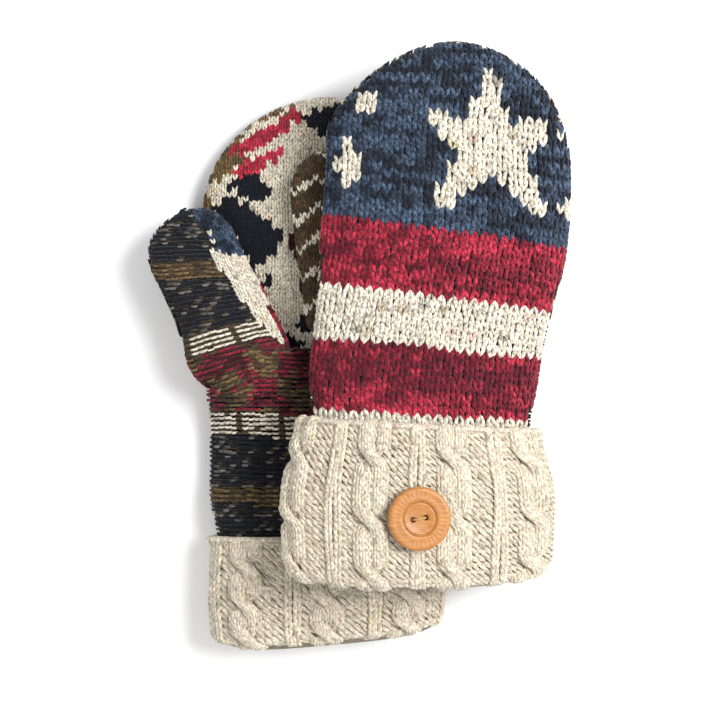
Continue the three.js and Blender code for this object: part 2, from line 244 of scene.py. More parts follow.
def thumb_section(thumb, t, inset):
    shoulder = thumb.length - THUMB_TIP_REACH
    tip_angle = np.interp(t - shoulder, THUMB_CAP.length, THUMB_CAP.angle)
    base_angle = np.interp(-t, THUMB_BASE_CAP.length, THUMB_BASE_CAP.angle)
    radius = THUMB_BASE_RADIUS - inset
    widen = np.clip(t / shoulder, 0, 1)
    half_width = lerp(THUMB_BASE_RADIUS, THUMB_HALF_WIDTH, widen) - inset
    past, before = t > shoulder, t < 0
    tip_y = shoulder + (THUMB_TIP_REACH - inset) * np.sin(tip_angle) ** (2 / THUMB_TIP_FULLNESS)
    y = np.where(past, tip_y, t)
    y = np.where(before, -radius * np.sin(base_angle), y)
    width = np.where(past, half_width * np.cos(tip_angle) ** (2 / THUMB_TIP_FULLNESS), half_width)
    width = np.where(before, radius * np.cos(base_angle), width)
    angle = np.where(past, tip_angle, np.where(before, base_angle, 0))
    height = (THUMB_HALF_HEIGHT - inset) * np.cos(angle) * np.sqrt(1 + np.sin(angle) ** 2)
    return y, width, height


def thumb_surface(mitten, side, inset=0.0):
    thumb = mitten.thumb
    lean = math.radians(thumb.lean)

    def at(s, t):
        y, width, height = thumb_section(thumb, t, inset)
        share = np.clip(s / np.maximum(width * THUMB_GIRTH.total, 1e-6), -1, 1)
        across = across_of(share, THUMB_GIRTH)
        past = np.maximum(0, y - THUMB_DROOP_START) / (thumb.length - THUMB_DROOP_START)
        z = side * height * np.sqrt(np.maximum(0, 1 - across**4)) - thumb.droop * past**2
        x = width * across * (1 - thumb.slimmer * (across > 0) * smoothstep(y, 5, 45))
        x = x * (1 + thumb.bulge * np.exp(-(((y - 4) / 15) ** 2)) * (across < 0) * np.abs(across))
        turned_x = x * math.cos(lean) - y * math.sin(lean) + thumb.x
        turned_y = x * math.sin(lean) + y * math.cos(lean) + thumb.y
        return np.stack([turned_x + SHIFT[0], turned_y + SHIFT[1], z + THUMB_MIDDLE_Z], axis=-1)

    return at


def thumb_reach(mitten, t):
    return thumb_section(mitten.thumb, t, 0)[1] * THUMB_GIRTH.total


def cuff_profile(mitten):
    """The cuff's section, from the inside of its lip, down the outside, and up inside the mouth."""
    points = []
    lip_y = mitten.cuff_top - CUFF_LIP_RADIUS - mitten.lip_drop
    for angle in np.linspace(math.radians(160), 0, 10):
        reach = CUFF_LIP_RADIUS * (1 - math.cos(angle))
        points.append((lip_y + CUFF_LIP_RADIUS * math.sin(angle), reach))
    fold_y = mitten.cuff_bottom + CUFF_FOLD_RADIUS
    for angle in np.linspace(0, math.pi, 20):
        inset = CUFF_FOLD_RADIUS * (1 - math.cos(angle))
        points.append((fold_y - CUFF_FOLD_RADIUS * math.sin(angle), inset))
    points.append((fold_y + 16, 2 * CUFF_FOLD_RADIUS))
    points = np.array(points)
    length = np.concatenate([[0], np.cumsum(np.hypot(*np.diff(points, axis=0).T))])
    return SimpleNamespace(y=points[:, 0], inset=points[:, 1], length=length)


def cuff_half_width(mitten, y):
    bottom, middle, top = mitten.cuff_widths
    halfway = (mitten.cuff_top + mitten.cuff_bottom) / 2
    upper = lerp(middle, top, smoothstep(y, halfway, mitten.cuff_top))
    lower = lerp(bottom, middle, smoothstep(y, mitten.cuff_bottom, halfway))
    return np.where(y > halfway, upper, lower)


def cuff_surface(mitten, side, inset=0.0):
    """s is the cloth length across at the cuff's middle, so the stitch columns spread with it."""
    profile = cuff_profile(mitten)
    nominal = cuff_reach(mitten)
    centre = mitten.centre(np.array(mitten.cuff_bottom))

    def at(s, t):
        y = np.interp(t, profile.length, profile.y)
        share = np.clip(s / nominal, -1, 1)
        rise = np.where(share < 0, mitten.cuff_corner_rise[0], mitten.cuff_corner_rise[1])
        near_fold = 1 - smoothstep(y, mitten.cuff_bottom, mitten.cuff_bottom + CORNER_RISE_REACH)
        y = y + rise * np.abs(share) ** 4 * near_fold
        taken_in = np.interp(t, profile.length, profile.inset) + inset
        width = cuff_half_width(mitten, y) - taken_in
        across = across_of(share, CUFF_GIRTH)
        height = (CUFF_HALF_HEIGHT - taken_in) * np.sqrt(np.maximum(0, 1 - across**4))
        return lay_down(mitten, centre + width * across, y, side * height)

    return at


def cuff_reach(mitten):
    return mitten.cuff_widths[1] * CUFF_GIRTH.total


# ---------------------------------------------------------------- colours

def colour(text):
    """A hex colour as linear red, green and blue."""
    value = np.array([int(text[i : i + 2], 16) for i in (0, 2, 4)]) / 255
    return np.where(value <= 0.04045, value / 12.92, ((value + 0.055) / 1.055) ** 2.4)


NAVY = colour("111624")
SLATE = colour("50637c")
RED = colour("d83a52")
DEEP_RED = colour("701328")
MAROON = colour("450c1a")
CREAM = colour("f6ecd9")
CUFF_CREAM = colour("ebdfc9")
SHADED_CREAM = colour("d8cbb2")
OLIVE = colour("8d7249")
DARK_OLIVE = colour("574631")
CHARCOAL = colour("20222c")
GREY = colour("8c8983")
PINK = colour("d9a79a")
STRAW = colour("cfc07f")
BROWN = colour("6b5338")
BLACK = colour("1b1a1c")
TAN = colour("b89b74")
# Dark olive at a third, for the thumbs' backing: painted shade in the gaps between the stitches
THUMB_BACKING_PAINTED_SHADE = DARK_OLIVE * 0.35


def blended(a, b, share):
    return a + (b - a) * np.asarray(share)[..., None]


def coherent(x, y, stretch_x, stretch_y, seed):
    """Smooth noise from 0 to 1, longer one way than the other."""
    total = np.zeros(np.shape(x))
    pick = np.random.default_rng(seed)
    for octave in range(4):
        scale = 2.0**octave
        turn = pick.uniform(0, 2 * math.pi, 4)
        fx, fy = scale / stretch_x, scale / stretch_y
        wave = np.sin(x * fx + turn[0] + 1.7 * np.sin(y * fy * 0.7 + turn[1]))
        wave = wave * np.sin(y * fy + turn[2] + 1.3 * np.sin(x * fx * 0.6 + turn[3]))
        total += wave / (octave + 1)
    return np.clip(0.5 + 0.33 * total, 0, 1)


def plies(first, second=None):
    """A yarn's two strands side by side: the second is a darker first unless it is given, the darkening
    being painted shade in the grooves between the plies.
    """
    return np.concatenate([first, first * PLY_GROOVE_PAINTED_SHADE if second is None else second], axis=-1)


def speckled(shade, count, amount, strength=0.5):
    """The odd leg of a tweed stitch takes the colour of a fleck."""
    flecks = np.array([PINK, STRAW, OLIVE, BLACK, TAN, GREY])
    out = np.tile(shade, (count, 1))
    lucky = RNG.random(count) < amount
    picked = flecks[RNG.integers(0, len(flecks), count)]
    out[lucky] = lerp(out, picked, strength)[lucky]
    return plies(out * (1 + 0.07 * RNG.standard_normal((count, 1))))


def marled(light, dark, x, y, seed, row_stretch=30.0, lightness=0.5):
    """A light and a dark strand plied together, in streaks of more and less light along the rows."""
    streak = coherent(x, y, row_stretch, 2.2, seed)
    lit = lightness + 1.2 * (streak - 0.5) + 0.33 * RNG.standard_normal(np.shape(x))
    lit = smoothstep(lit, 0.05, 0.95)
    # The second strand is the dark yarn darkened further: its own dark colour, and painted shade in the
    # ply grooves.
    return plies(blended(dark, light, 0.12 + 0.88 * lit), blended(dark * 0.55, light, 0.14 * lit))


def inside(x, y, outline):
    """True where a point lies in a polygon."""
    hit = np.zeros(np.shape(x), bool)
    for (ax, ay), (bx, by) in zip(outline, outline[1:] + outline[:1]):
        if ay == by:
            continue
        crosses = (ay > y) != (by > y)
        hit ^= crosses & (x < (bx - ax) * (y - ay) / (by - ay) + ax)
    return hit


def paint(base, mask, shade):
    base[mask] = shade[mask] if np.ndim(shade) == 2 else shade
    return base


STAR = [
    (59.5, 139), (65, 139), (68, 126), (73.5, 114), (92, 115), (91, 107), (79.5, 97), (91, 72),
    (85.5, 68), (63, 87.5), (40, 71.5), (34, 75.5), (46, 99), (32, 112.5), (33, 119), (51, 113.5),
    (56, 126),
]
STAR_SCRAPS = [
    [(0, 116), (6, 119), (6, 127), (1, 127), (-2, 122)],
    [
        (-8, 105), (-4, 105), (-4, 97), (1, 100), (1, 90), (-5, 79), (-8, 84), (-9, 90), (-12, 92),
        (-10, 99),
    ],
    [(96, 105), (104, 107), (104, 113), (96, 111)],
    [(97, 72), (108, 66), (108, 82), (99, 80)],
]

RIGHT_BANDS = {"navy": 62.5, "red": 30.0, "cream": 5.0, "lower_red": -24.0}


def flag_pattern(x, y, s, t):
    """Colours of the back of the right mitten: a star over stripes."""
    count = len(x)
    dark_middle = np.exp(-(((t - 44) / 7.5) ** 2)) + np.exp(-(((t + 6) / 9.0) ** 2))
    navy = marled(SLATE * 1.25, NAVY, s, t, 3, 26, 0.42)
    red = marled(RED * 1.1, DEEP_RED, s, t, 4, 34, 0.62)
    share = dark_middle * 0.6 + 0.25 * RNG.standard_normal(count) - 0.1
    share = np.clip(share + 0.3 * (t < RIGHT_BANDS["cream"]), 0, 1)
    red = blended(red, plies(DEEP_RED, MAROON), share)
    cream = speckled(CREAM, count, 0.05)
    out = np.where((t > RIGHT_BANDS["navy"])[:, None], navy, red)
    pale = (t < RIGHT_BANDS["red"]) & (t > RIGHT_BANDS["cream"])
    out = paint(out, pale | (t < RIGHT_BANDS["lower_red"]), cream)
    star = inside(x, y, STAR)
    for scrap in STAR_SCRAPS:
        star |= inside(x, y, scrap)
    return paint(out, star & (t > RIGHT_BANDS["navy"]), cream)


PALM_SHAPES = [
    (OLIVE, [(-80, 90), (-66, 104), (-52, 116), (-58, 108), (-53, 103), (-62, 92), (-70, 87)]),
    (OLIVE, [(-76, 100), (-66, 109), (-50, 117), (-40, 120), (-30, 124), (-50, 124), (-80, 108)]),
    (RED, [(-66, 101), (-56, 109), (-42, 116), (-32, 124), (-28, 119), (-42, 108), (-54, 102)]),
    (RED, [(-64, 89), (-55, 99), (-39, 104), (-37, 100), (-46, 95), (-50, 90), (-58, 90)]),
    (NAVY, [(-66, 86), (-58, 90), (-49, 90), (-43, 82), (-41, 79), (-47, 78), (-56, 80), (-62, 84)]),
    (NAVY, [(-30, 118), (-22, 123), (-4, 126), (-2, 108), (-16, 107), (-24, 114)]),
    (NAVY, [
        (-72, 74), (-64, 79), (-55, 77), (-45, 68), (-37, 62), (-41, 53), (-53, 43), (-55, 51),
        (-62, 62),
    ]),
    (OLIVE, [(-78, 80), (-73, 81), (-72, 73), (-78, 74)]),
    (NAVY, [(-48, 40), (-43, 41), (-42, 38), (-46, 35)]),
    (MAROON, [(-36, 62), (-30, 62), (-26, 50), (-32, 52)]),
    (MAROON, [(-31, 40), (-22, 38), (-20, 30), (-26, 32)]),
    (NAVY, [(-32, 19), (-24, 25), (-20, 18), (-28, 15)]),
    (RED, [(-12, 88), (4, 96), (18, 88), (4, 78)]),
    (NAVY, [(-4, 60), (14, 72), (34, 60), (16, 46)]),
    (RED, [(4, 30), (16, 38), (30, 30), (16, 20)]),
    (NAVY, [(-44, 10), (-36, 14), (-26, 8), (-34, 2)]),
]


def zigzag_pattern(x, y, s, t):
    """Colours of an upper palm: steep diamonds and zigzags on a cream ground."""
    out = speckled(lerp(CREAM, SHADED_CREAM, 0.35), len(x), 0.05)
    tooth = 1.6 * (np.floor(s / FINE.width) % 2) + 0.5 * RNG.standard_normal(len(x))
    for shade, outline in PALM_SHAPES:
        heathered = marled(shade * 1.15, shade * 0.5, s, t, 11, 12, 0.6)
        out = paint(out, inside(x, y + tooth, outline), heathered)
    return out


def streaky(dark, light, count, share):
    """Mostly the dark yarn, with a share of the stitches showing the light one."""
    out = np.tile(dark, (count, 1)) * (0.8 + 0.4 * RNG.random((count, 1)))
    lit = RNG.random(count) < share
    return plies(paint(out, lit, blended(dark, light, RNG.uniform(0.35, 1.0, count))))


def broken_lines(s):
    """Cream lines on brown, broken every few stitches."""
    column = np.floor(s / REVERSE.width)
    line = speckled(CREAM, len(s), 0.03)
    return paint(line, (column % 7 == 0) | (RNG.random(len(s)) < 0.03), plies(DARK_OLIVE))


def motif(x, y):
    """Small red diamonds on heathered olive."""
    form = np.sin(x / 5.2 + 1.0) * np.sin((y + 8) / 5.0) + 0.55 * np.sin(x / 2.6) * np.sin(y / 3.1)
    is_red = form + 0.3 * RNG.standard_normal(len(x)) > -0.1
    ground = streaky(DARK_OLIVE, OLIVE, len(x), 0.5)
    return paint(ground, is_red, streaky(MAROON * 1.2, RED * 0.52, len(x), 0.75))


def banded(row, s, bands):
    """Charcoal, with cream lines between the first two levels and gold between the last two."""
    lines_top, lines_bottom, gold_top, gold_bottom = bands
    out = streaky(CHARCOAL * 0.8, GREY * 0.9, len(s), 0.24)
    gold = (row < gold_top) & (row > gold_bottom)
    out = paint(out, gold, streaky(DARK_OLIVE, OLIVE, len(s), 0.65))
    return paint(out, (row < lines_top) & (row > lines_bottom), broken_lines(s))


def reverse_pattern(x, y, s, t):
    """Colours of a lower palm, which shows the floats of a banded knit."""
    level = t + 4.0 * np.exp(-(((x + 20) / 24) ** 2))
    out = banded(level, s, (-24, -36, -61, -69))
    return paint(out, level >= -24, motif(x, y))


def thumb_reverse_pattern(s, row):
    """Colours of a thumb's outer side, which carries the same bands round with it."""
    out = banded(row, s, (13, 3.5, 47, 38))
    lean = math.radians(LEFT.thumb.lean)
    x = s * math.cos(lean) - row * math.sin(lean) + LEFT.thumb.x
    y = s * math.sin(lean) + row * math.cos(lean) + LEFT.thumb.y
    return paint(out, row <= 3.5, motif(x, y))


def thumb_inner_pattern(s, t):
    """Colours of a thumb's inner side: a navy tip on cream, and a red edge."""
    cream = speckled(lerp(CREAM, SHADED_CREAM, 0.15), len(s), 0.05)
    out = paint(cream, t > 45 + 3 * np.sin(s / 5), marled(SLATE, NAVY, s, t, 41, 10, 0.45))
    seam = seam_across_thumb(t)
    beside_seam = (s > seam) & (s < seam + 2.6) & (t > 48) & (t < 61)
    every_other_row = np.floor(t / FINE.height) % 2 == 0
    out = paint(out, beside_seam & every_other_row, speckled(CREAM, len(s), 0.05))
    red = marled(RED, MAROON, s, t, 42, 10)
    out = paint(out, (s > 23.5 - 0.12 * (27 - t)) & (t < 27), red)
    out = paint(out, (s < -15) & (t < 10), red)
    return paint(out, (s < -15) & (t >= 10), streaky(CHARCOAL, GREY, len(s), 0.2))


def brown_pattern(x, y, s, t):
    """Colours of the right palm: brown with zigzag streaks."""
    zigzag = np.abs((t / 14 + 0.5 * np.abs((s / 11) % 2 - 1)) % 1 - 0.5)
    out = marled(BROWN * 1.1, DARK_OLIVE * 0.6, s, t, 51, 12)
    out = paint(out, zigzag < 0.1, speckled(CREAM, len(s), 0.08))
    return paint(out, (t > 76) & (zigzag > 0.36), marled(SLATE, NAVY, s, t, 52, 12))


def plain_navy_pattern(x, y, s, t):
    """Colours of the left mitten's back, which repeats the stripes in the other order."""
    out = marled(SLATE, NAVY, s, t, 61, 26)
    out = paint(out, (t < 66) & (t > 34), marled(RED, DEEP_RED, s, t, 62, 34, 0.62))
    out = paint(out, ((t <= 34) & (t > 8)) | (t < -74), speckled(CREAM, len(s), 0.05))
    return paint(out, (t <= 8) & (t > -40), marled(RED, MAROON, s, t, 63, 34, 0.55))


def cuff_colours(count):
    """Cream tweed yarn, with a second strand that is a darker copy of the first, as painted shade in
    the grooves between the plies.
    """
    first = speckled(CUFF_CREAM, count, 0.06, 0.42)[:, :3]
    return plies(first, first * CUFF_PLY_GROOVE_PAINTED_SHADE)


# ---------------------------------------------------------------- yarn

def tube_faces(rings, around):
    """A tube's four-cornered faces, the corners round its first ring, and the one after each."""
    turn = np.arange(around)
    following = (turn + 1) % around
    start = around * np.arange(rings - 1)[:, None]
    a, b = start + turn, start + following
    return np.stack([a, b, b + around, a + around], -1).reshape(-1, 4), turn, following


class Skein:
    """Short lengths of yarn gathered into one mesh."""

    def __init__(self, sides=5):
        self.sides = sides
        self.corners, self.quads, self.triangles, self.shades = [], [], [], []
        self.count = 0

    def add(self, points, normals, radii, shades, flatness=0.85):
        """points and normals are lengths x steps x 3, radii is lengths x steps, in millimetres.
        shades holds the colours of the two strands that are plied together, side by side."""
        lengths, steps, _ = points.shape
        if lengths == 0:
            return
        tangent = unit(np.gradient(points, axis=1))
        beside = unit(np.cross(normals, tangent))
        outward = np.cross(tangent, beside)
        angle = 2 * math.pi * np.arange(self.sides) / self.sides
        ring = (
            beside[:, :, None] * np.cos(angle)[:, None]
            + flatness * outward[:, :, None] * np.sin(angle)[:, None]
        )
        start = RNG.uniform(0, 2 * math.pi, (lengths, 1, 1))
        wind = angle[None, None] + PLY_TURN * np.arange(steps)[None, :, None] + start
        radii_around = radii[:, :, None] * (1 + PLY_DEPTH * np.cos(2 * wind))
        body = points[:, :, None] + radii_around[..., None] * ring
        past_ends = tangent[:, [0, -1]] * radii[:, [0, -1], None] * [[[-0.7], [0.7]]]
        corners = np.concatenate([body.reshape(lengths, -1, 3), points[:, [0, -1]] + past_ends], axis=1)
        each = corners.shape[1]
        quads, side, following = tube_faces(steps, self.sides)
        last = (steps - 1) * self.sides
        low = np.stack([following, side, np.full_like(side, each - 2)], -1)
        high = np.stack([last + side, last + following, np.full_like(side, each - 1)], -1)
        first_corner = self.count + each * np.arange(lengths)[:, None, None]
        self.corners.append(corners.reshape(-1, 3))
        self.quads.append((first_corner + quads).reshape(-1, 4))
        self.triangles.append((first_corner + np.concatenate([low, high])).reshape(-1, 3))
        # The colour winds round each leg from the first strand to the second; where the second is a
        # darker copy of the first, the winding dark band is painted shade.
        first, second = shades[:, :3], shades[:, 3:]
        share = (0.5 + 0.5 * np.cos(wind))[..., None]
        plied = first[:, None, None] * share + second[:, None, None] * (1 - share)
        # The end caps, where a leg tucks into the cloth, are darkened as painted shade.
        ends = np.stack([second, second], axis=1) * 0.8
        tones = np.concatenate([plied.reshape(lengths, -1, 3), ends], axis=1)
        self.shades.append(np.clip(tones, 0, 1).reshape(-1, 3))
        self.count += lengths * each

    def make(self, name, material):
        corners = np.concatenate(self.corners)
        corners[:, 2] = np.maximum(corners[:, 2], PRESSED_TO)
        corners *= MM
        faces = np.concatenate(self.quads), np.concatenate(self.triangles)
        return mesh_object(name, corners, *faces, np.concatenate(self.shades), material)


def mesh_object(name, corners, quads, triangles, shades, material):
    """A smooth mesh with a colour at each corner. Corners are in metres."""
    mesh = bpy.data.meshes.new(name)
    mesh.vertices.add(len(corners))
    mesh.vertices.foreach_set("co", corners.astype(np.float32).ravel())
    loops = np.concatenate([quads.ravel(), triangles.ravel()]).astype(np.int32)
    mesh.loops.add(len(loops))
    mesh.loops.foreach_set("vertex_index", loops)
    fours, threes = np.arange(len(quads)), np.arange(len(triangles))
    starts = np.concatenate([4 * fours, 4 * len(quads) + 3 * threes])
    mesh.polygons.add(len(starts))
    mesh.polygons.foreach_set("loop_start", starts.astype(np.int32))
    mesh.update(calc_edges=True)
    mesh.polygons.foreach_set("use_smooth", np.ones(len(starts), bool))
    tint = mesh.color_attributes.new("tint", "FLOAT_COLOR", "POINT")
    rgba = np.concatenate([shades, np.ones((len(shades), 1))], axis=1)
    tint.data.foreach_set("color", rgba.astype(np.float32).ravel())
    mesh.materials.append(material)
    obj = bpy.data.objects.new(name, mesh)
    bpy.context.scene.collection.objects.link(obj)
    return obj


def frame_at(surface, side, s, t):
    """A point of the cloth and the direction out of it."""
    reach = 0.3
    across = surface(s + reach, t) - surface(s - reach, t)
    along = surface(s, t + reach) - surface(s, t - reach)
    return surface(s, t), side * unit(np.cross(across, along))


def place(surface, side, s, t, depth):
    point, normal = frame_at(surface, side, s, t)
    return point + normal * depth[..., None], normal


def wander(s, t, seed, size):
    """Slow irregularities of hand-finished cloth."""
    across = size * (coherent(s, t, 17, 13, seed) - 0.5)
    return across, size * (coherent(s, t, 15, 16, seed + 1) - 0.5)


def stitch_grid(gauge, reach, low, high):
    """Middles of the stitches that fit between the seams."""
    half = math.ceil(GRID_HALF_WIDTH / gauge.width)
    columns = np.arange(-half, half + 1) * gauge.width
    rows = np.arange(low + gauge.height / 2, high, gauge.height)
    s, t = (grid.ravel() for grid in np.meshgrid(columns, rows))
    fits = np.abs(s) < reach(t) - SEAM_ROOM * gauge.width
    return s[fits], t[fits]


def leg_shape(gauge, leg, steps=5, hook=6.0):
    """Along one leg of a plain stitch: how far it leans, its thickness, and how deep it is tucked."""
    along = np.linspace(0, 1, steps)[None]
    lean = leg * gauge.width * (0.07 + 0.36 * along**0.85)
    thickness = gauge.radius * (0.42 + 0.58 * np.sin(math.pi * (0.12 + 0.76 * along)))
    tuck = gauge.radius * (2.0 * (along - 0.42) ** 2 + hook * np.maximum(0, along - 0.72) ** 2)
    return along, lean, thickness, tuck


def knit(skein, surface, side, gauge, s, t, shades, steps=4):
    """Plain stitches: two legs that lean apart, tucked in at both ends."""
    count = len(s)
    drift_s, drift_t = wander(s, t, 7, 0.35 * gauge.width)
    for leg in (-1, 1):
        along, lean, thickness, tuck = leg_shape(gauge, leg, steps, 6.4)
        middle_s = s + drift_s + 0.04 * gauge.width * RNG.standard_normal(count)
        middle_t = t + drift_t + 0.05 * gauge.height * RNG.standard_normal(count)
        path_s = middle_s[:, None] + lean
        path_t = middle_t[:, None] + gauge.height * (-0.8 + 1.62 * along)
        radii = thickness * (1 + 0.08 * RNG.standard_normal((count, 1)))
        depth = YARN_LIFT - gauge.radius * 0.9 - tuck + 0.05 * RNG.standard_normal((count, 1))
        points, normals = place(surface, side, path_s, path_t, depth)
        skein.add(points, normals, radii, shades * (1 + 0.06 * RNG.standard_normal((count, 1))))


def purl(skein, surface, side, gauge, s, t, shades):
    """Reversed stitches: arcs lying across the cloth, two to a row, the second sunken and darker: at
    most as light as the brown yarn, then darkened further as painted shade.
    """
    count = len(s)
    drift_s, drift_t = wander(s, t, 9, 0.5 * gauge.height)
    along = np.linspace(-1, 1, 5)[None]
    # The sunken arcs are held to the brown yarn's colour and darkened as painted shade.
    sunken_floats_and_painted_shade = np.minimum(shades, plies(DARK_OLIVE * 1.1)) * 0.85
    arcs = (-1, 0.0, 0.0, shades), (1, 0.5, 0.6, sunken_floats_and_painted_shade)
    for bend, shift, sink, arc_shades in arcs:
        bow = bend * 0.12 * gauge.height
        jitter = 0.08 * gauge.height * RNG.standard_normal((count, 1))
        path_s = s[:, None] + drift_s[:, None] + gauge.width * (shift + 0.62 * along)
        path_t = t[:, None] + drift_t[:, None] + gauge.height * shift + bow * (1 - along**2)
        path_t = path_t + jitter
        radii = gauge.radius * (0.5 + 0.5 * np.cos(along * 1.25))
        radii = radii * (1 + 0.1 * RNG.standard_normal((count, 1)))
        depth = YARN_LIFT - gauge.radius * (0.95 + sink + 0.7 * along**2)
        points, normals = place(surface, side, path_s, path_t, depth)
        skein.add(points, normals, radii, arc_shades * (1 + 0.08 * RNG.standard_normal((count, 1))))


def place_of(surface, s, t):
    """Where a stitch lies, in the pattern's own millimetres."""
    point = surface(s, t)
    return point[..., 0] - SHIFT[0], point[..., 1] - SHIFT[1]


# ---------------------------------------------------------------- materials

def new_material(name):
    material = bpy.data.materials.new(name)
    material.use_nodes = True
    tree = material.node_tree
    return material, tree, tree.nodes["Principled BSDF"]


def noise(tree, scale, detail=3.0, stretch=None):
    node = tree.nodes.new("ShaderNodeTexNoise")
    node.inputs["Scale"].default_value = scale
    node.inputs["Detail"].default_value = detail
    place_node = tree.nodes.new("ShaderNodeTexCoord")
    source = place_node.outputs["Object"]
    if stretch:
        mapping = tree.nodes.new("ShaderNodeMapping")
        mapping.inputs["Scale"].default_value = stretch
        tree.links.new(source, mapping.inputs["Vector"])
        source = mapping.outputs["Vector"]
    tree.links.new(source, node.inputs["Vector"])
    return node.outputs["Fac"]


def ramp(tree, source, stops):
    node = tree.nodes.new("ShaderNodeValToRGB")
    elements = node.color_ramp.elements
    while len(elements) < len(stops):
        elements.new(0.5)
    for element, (position, shade) in zip(elements, stops):
        element.position = position
        element.color = (*shade, 1)
    tree.links.new(source, node.inputs["Fac"])
    return node.outputs["Color"]


def mix_colours(tree, a, b):
    """One colour multiplied by another."""
    node = tree.nodes.new("ShaderNodeMix")
    node.data_type = "RGBA"
    node.blend_type = "MULTIPLY"
    node.inputs["Factor"].default_value = 1.0
    tree.links.new(a, node.inputs["A"])
    tree.links.new(b, node.inputs["B"])
    return node.outputs["Result"]


def bump(tree, shader, source, strength, distance):
    node = tree.nodes.new("ShaderNodeBump")
    node.inputs["Strength"].default_value = strength
    node.inputs["Distance"].default_value = distance
    tree.links.new(source, node.inputs["Height"])
    tree.links.new(node.outputs["Normal"], shader.inputs["Normal"])


def dress(tree, shader, tone, sockets, relief=None):
    """Gives a shader its colour, its plain values, and the noise, strength and size of its bump."""
    tree.links.new(tone, shader.inputs["Base Color"])
    for socket, value in sockets.items():
        shader.inputs[socket].default_value = value
    if relief:
        bump(tree, shader, *relief)


def grey(value):
    return (value, value, value)


def two_shades(low, dark, high, light):
    """A ramp's two stops, from hex colours."""
    return [(low, tuple(colour(dark))), (high, tuple(colour(light)))]


def wool_material(name, sheen=0.2, contrast=0.7, fibre_scale=1500.0):
    """Spun wool: a fibre pattern over the yarn's own colour, with a soft bloom."""
    material, tree, shader = new_material(name)
    tint = tree.nodes.new("ShaderNodeAttribute")
    tint.attribute_name = "tint"
    fibres = noise(tree, fibre_scale, 4.0, (1.0, 0.45, 1.0))
    shading = ramp(tree, fibres, [(0.34, grey(1 - contrast)), (0.66, grey(1.0 + 0.3 * contrast))])
    tone = mix_colours(tree, tint.outputs["Color"], shading)
    sockets = {
        "Roughness": 0.88, "Specular IOR Level": 0.18, "Sheen Weight": sheen, "Sheen Roughness": 0.45
    }
    dress(tree, shader, tone, sockets, (fibres, 0.55, 0.0004))
    return material


def fleece_material():
    material, tree, shader = new_material("fleece_pile")
    curls = noise(tree, 420.0, 5.0)
    tone = ramp(tree, curls, two_shades(0.3, "a99c88", 0.7, "ece4d6"))
    dress(tree, shader, tone, {"Roughness": 0.95, "Sheen Weight": 0.4}, (curls, 0.8, 0.0012))
    return material


def wood_material():
    """Turned wood with fine straight grain and a thin satin finish."""
    material, tree, shader = new_material("button_wood")
    grain = noise(tree, 260.0, 5.0, (1.0, 7.0, 1.0))
    broad = noise(tree, 60.0, 2.0, (1.0, 3.0, 1.0))
    tone = ramp(tree, grain, two_shades(0.3, "a06228", 0.7, "c08543"))
    cloud = ramp(tree, broad, [(0.3, grey(0.86)), (0.75, grey(1.08))])
    sockets = {"Roughness": 0.42, "Coat Weight": 0.12, "Coat Roughness": 0.3}
    dress(tree, shader, mix_colours(tree, tone, cloud), sockets, (grain, 0.25, 0.0002))
    return material


def thread_material():
    material, tree, shader = new_material("button_thread")
    twist = noise(tree, 3000.0, 2.0, (1.0, 1.0, 0.4))
    tone = ramp(tree, twist, two_shades(0.35, "8d6335", 0.65, "cfa066"))
    dress(tree, shader, tone, {"Roughness": 0.8}, (twist, 0.5, 0.0002))
    return material


def floor_material():
    material, tree, shader = new_material("studio_floor")
    speck = noise(tree, 30.0, 2.0)
    tone = ramp(tree, speck, [(0.3, grey(0.93)), (0.7, grey(0.95))])
    dress(tree, shader, tone, {"Roughness": 0.9, "Specular IOR Level": 0.1})
    return material


WOOL_MATERIAL = wool_material("knitted_wool")
FINE_WOOL_MATERIAL = wool_material("fine_knitted_wool", 0.16, 0.6, 2000.0)
CUFF_MATERIAL = wool_material("tweed_cable_wool", 0.2, 0.42, 1700.0)
# The backing skins' material; their dark colours are painted shade between the stitches
BACKING_PAINTED_SHADE_MATERIAL = wool_material("inner_wool_painted_shade", 0.05, 0.5, 1500.0)
FLEECE_MATERIAL = fleece_material()
WOOD_MATERIAL = wood_material()
THREAD_MATERIAL = thread_material()


# ---------------------------------------------------------------- backing cloth

def closed_form(surface_of, reach, stations, girth_steps, inset, low_open=False):
    """A ring-by-ring closed skin over both sides of a flattened tube."""
    rings = []
    for t in stations:
        s = np.linspace(-1, 1, girth_steps + 1) * reach(np.array(t))
        over = surface_of(1, inset)(s, np.full_like(s, t))
        under = surface_of(-1, inset)(s[::-1], np.full_like(s, t))
        rings.append(np.concatenate([over[:-1], under[:-1]]))
    around = 2 * girth_steps
    ends = [rings[-1].mean(0, keepdims=True)]
    if not low_open:
        ends.insert(0, rings[0].mean(0, keepdims=True))
    corners = np.concatenate(rings + ends)
    quads, turn, following = tube_faces(len(rings), around)
    last = (len(rings) - 1) * around
    triangles = np.stack([last + turn, last + following, np.full_like(turn, len(corners) - 1)], -1)
    if not low_open:
        low = np.stack([following, turn, np.full_like(turn, len(corners) - 2)], -1)
        triangles = np.concatenate([low, triangles])
    return corners, quads, triangles


def backing(name, form, shade, material):
    """A closed form as a mesh of one shade."""
    corners, quads, triangles = form
    shades = np.tile(shade, (len(corners), 1))
    return mesh_object(name, corners * MM, quads, triangles, shades, material)


def flipped(part):
    corners, quads, triangles = part
    return corners, quads[:, ::-1], triangles[:, ::-1]


# ---------------------------------------------------------------- the pieces

